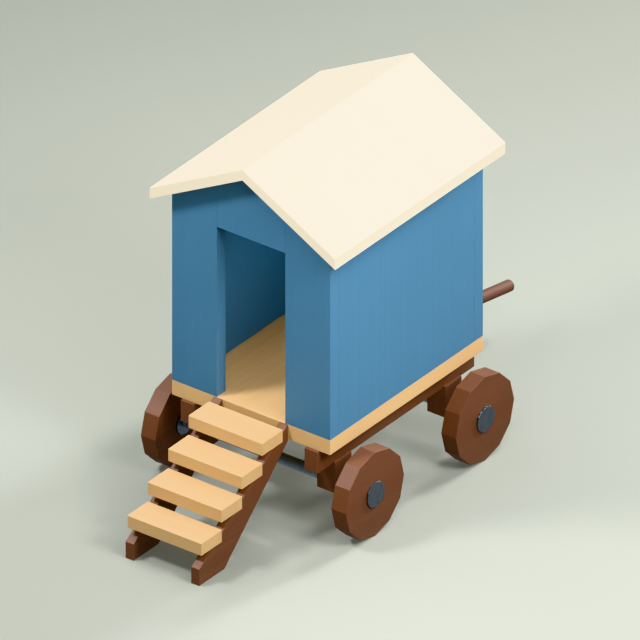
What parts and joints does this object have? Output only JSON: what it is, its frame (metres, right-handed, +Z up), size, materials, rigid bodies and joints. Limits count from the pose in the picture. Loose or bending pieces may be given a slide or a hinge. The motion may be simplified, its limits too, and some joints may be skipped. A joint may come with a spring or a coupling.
{
  "type": "bathing machine",
  "caption": "Gabled wooden changing cabin on a four-wheeled cart, with steps up to an open doorway and a draw pole at the back.",
  "frame": {"origin": "on the ground, midway along the whole length from the foot of the steps to the tip of the draw pole, and midway between the wheels", "axes": "+Z up; the steps and doorway face -Y, the draw pole points to +Y, and +X is the right-hand side"},
  "size_m": [2.404, 5.369, 3.75],
  "materials": {
    "blue_paint": "satin blue paint on boards",
    "cream_paint": "matt cream paint on boards",
    "deck_timber": "pale planed timber",
    "tread_timber": "pale planed timber",
    "frame_timber": "dark stained timber",
    "wheel_timber": "dark stained timber",
    "iron": "blue-grey forged iron"
  },
  "bodies": {
    "cart": {"deck": "deck_timber", "side_beam_left": "frame_timber", "side_beam_right": "frame_timber", "cross_bearer_front": "frame_timber", "cross_bearer_inner": "frame_timber", "cross_bearer_rear": "frame_timber", "axle_block_front_left": "frame_timber", "axle_block_front_right": "frame_timber", "axle_block_rear_left": "frame_timber", "axle_block_rear_right": "frame_timber", "front_axle": "iron", "rear_axle": "iron", "front_wall_left": "blue_paint", "front_wall_right": "blue_paint", "front_wall_top": "blue_paint", "left_wall": "blue_paint", "right_wall": "blue_paint", "back_wall": "blue_paint", "roof_left": "cream_paint", "roof_right": "cream_paint", "stringer_left": "frame_timber", "stringer_right": "frame_timber", "tread_1": "tread_timber", "tread_2": "tread_timber", "tread_3": "tread_timber", "tread_4": "tread_timber", "draw_pole": "frame_timber"},
    "wheel_front_left": {"wheel_front_left": "wheel_timber", "hub_front_left": "iron"},
    "wheel_front_right": {"wheel_front_right": "wheel_timber", "hub_front_right": "iron"},
    "wheel_rear_left": {"wheel_rear_left": "wheel_timber", "hub_rear_left": "iron"},
    "wheel_rear_right": {"wheel_rear_right": "wheel_timber", "hub_rear_right": "iron"}
  },
  "joints": [
    {"name": "front_left_wheel_turn", "type": "hinge", "parent": "cart", "child": "wheel_front_left", "pos_m": [-1.102, -0.98554, 0.451], "axis": [1, 0, 0], "continuous": true},
    {"name": "front_right_wheel_turn", "type": "hinge", "parent": "cart", "child": "wheel_front_right", "pos_m": [1.102, -0.98554, 0.451], "axis": [1, 0, 0], "continuous": true},
    {"name": "rear_left_wheel_turn", "type": "hinge", "parent": "cart", "child": "wheel_rear_left", "pos_m": [-1.102, 0.71246, 0.451], "axis": [1, 0, 0], "continuous": true},
    {"name": "rear_right_wheel_turn", "type": "hinge", "parent": "cart", "child": "wheel_rear_right", "pos_m": [1.102, 0.71246, 0.451], "axis": [1, 0, 0], "continuous": true}
  ]
}
